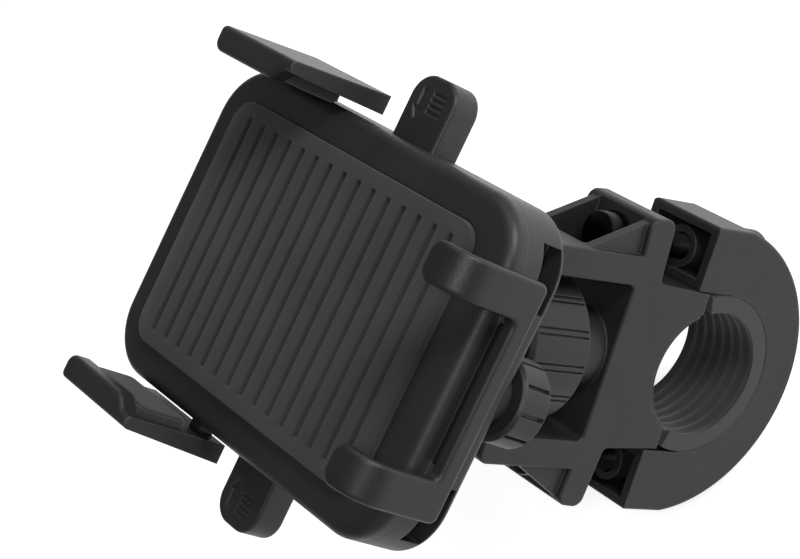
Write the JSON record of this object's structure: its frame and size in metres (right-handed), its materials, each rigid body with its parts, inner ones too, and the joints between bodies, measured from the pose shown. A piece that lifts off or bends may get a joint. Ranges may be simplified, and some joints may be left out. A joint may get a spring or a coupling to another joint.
{
  "type": "bicycle phone mount",
  "caption": "Handlebar phone mount: sprung side arms and a sliding foot on a cradle, a locking ball joint, and a two-part clamp for a bar.",
  "frame": {"origin": "centre of the handlebar bore, midway along the clamp", "axes": "+X along the handlebar, towards the phone's top; +Z square to the phone's back, out of its screen; +Y towards the phone's left edge"},
  "size_m": [0.092, 0.0852, 0.1311],
  "materials": {
    "clamp_plastic": "fine moulded grain",
    "case_plastic": "fine moulded grain",
    "arm_plastic": "satin moulded",
    "ring_plastic": "satin moulded",
    "stem_plastic": "smooth moulded",
    "gear_plastic": "natural acetal",
    "liner_rubber": "soft matte",
    "pad_rubber": "soft matte",
    "black_steel": "black oxide",
    "zinc_steel": "bright zinc"
  },
  "bodies": {
    "clamp_base": {"clamp_base": "clamp_plastic", "base_liner": "liner_rubber", "clamp_bolts": "black_steel", "bolt_washers": "zinc_steel"},
    "clamp_cap": {"clamp_cap": "clamp_plastic", "cap_liner": "liner_rubber", "clamp_nuts": "zinc_steel"},
    "lock_ring": {"lock_ring": "ring_plastic"},
    "ball": {"ball": "stem_plastic"},
    "neck": {"neck": "stem_plastic", "neck_washer": "zinc_steel", "neck_screw": "zinc_steel"},
    "cradle": {"rear_housing": "case_plastic", "front_housing": "case_plastic", "back_pad": "pad_rubber", "housing_screws": "black_steel", "foot_nut": "zinc_steel", "pinion_pin": "zinc_steel", "opening_spring": "zinc_steel", "left_pawl_spring": "zinc_steel", "right_pawl_spring": "zinc_steel"},
    "left_arm": {"left_arm": "arm_plastic", "left_rack": "gear_plastic", "left_arm_pad": "pad_rubber"},
    "right_arm": {"right_arm": "arm_plastic", "right_rack": "gear_plastic", "right_arm_pad": "pad_rubber"},
    "pinion": {"pinion": "gear_plastic"},
    "left_release_tab": {"left_release_tab": "arm_plastic"},
    "right_release_tab": {"right_release_tab": "arm_plastic"},
    "left_pawl": {"left_pawl": "gear_plastic"},
    "right_pawl": {"right_pawl": "gear_plastic"},
    "foot": {"foot_bracket": "arm_plastic"},
    "foot_knob": {"foot_knob": "ring_plastic", "foot_knob_screw": "zinc_steel"}
  },
  "joints": [
    {"name": "cap_opening", "type": "slide", "parent": "clamp_base", "child": "clamp_cap", "axis": [0, -0.1822, -0.9833], "range_m": [0, 0.003]},
    {"name": "lock_ring_turn", "type": "hinge", "parent": "clamp_base", "child": "lock_ring", "pos_m": [0, 0, 0], "axis": [0, 0.1822, 0.9833], "range_deg": [0, 270]},
    {"name": "ball_lean", "type": "hinge", "parent": "clamp_base", "child": "ball", "pos_m": [0, 0.00856, 0.04621], "axis": [1, 0, 0], "range_deg": [-35.5, 14.5]},
    {"name": "ball_nod", "type": "hinge", "parent": "ball", "child": "neck", "pos_m": [0, 0.00856, 0.04621], "axis": [0, 1, 0], "range_deg": [-25, 25]},
    {"name": "cradle_swivel", "type": "hinge", "parent": "neck", "child": "cradle", "pos_m": [0, 0.00856, 0.04621], "axis": [0, 0, 1], "continuous": true},
    {"name": "left_arm_slide", "type": "slide", "parent": "cradle", "child": "left_arm", "axis": [0, 1, 0], "range_m": [-0.0015, 0.012]},
    {"name": "right_arm_slide", "type": "slide", "parent": "cradle", "child": "right_arm", "axis": [0, -1, 0], "range_m": [-0.0015, 0.012]},
    {"name": "pinion_turn", "type": "hinge", "parent": "cradle", "child": "pinion", "pos_m": [0.0225, 0.0126, 0.0865], "axis": [0, 0, 1], "range_deg": [-172, 22]},
    {"name": "left_tab_press", "type": "slide", "parent": "cradle", "child": "left_release_tab", "axis": [0, -1, 0], "range_m": [0, 0.003], "stiffness_N_per_m": 300, "springref_m": -0.001},
    {"name": "right_tab_press", "type": "slide", "parent": "cradle", "child": "right_release_tab", "axis": [0, 1, 0], "range_m": [0, 0.003], "stiffness_N_per_m": 300, "springref_m": -0.001},
    {"name": "left_pawl_slide", "type": "slide", "parent": "cradle", "child": "left_pawl", "axis": [-1, 0, 0], "range_m": [0, 0.0015]},
    {"name": "right_pawl_slide", "type": "slide", "parent": "cradle", "child": "right_pawl", "axis": [-1, 0, 0], "range_m": [0, 0.0015]},
    {"name": "foot_slide", "type": "slide", "parent": "cradle", "child": "foot", "axis": [-1, 0, 0], "range_m": [0, 0.02]},
    {"name": "foot_knob_turn", "type": "hinge", "parent": "cradle", "child": "foot_knob", "pos_m": [-0.0365, 0.0126, 0.0745], "axis": [0, 0, 1], "range_deg": [0, 360]}
  ],
  "couplings": [
    {"joint": "right_arm_slide", "follows": "left_arm_slide", "ratio": 1},
    {"joint": "pinion_turn", "follows": "left_arm_slide", "rad_per_m": -250},
    {"joint": "left_pawl_slide", "follows": "left_tab_press", "ratio": 0.5},
    {"joint": "right_pawl_slide", "follows": "right_tab_press", "ratio": 0.5}
  ]
}
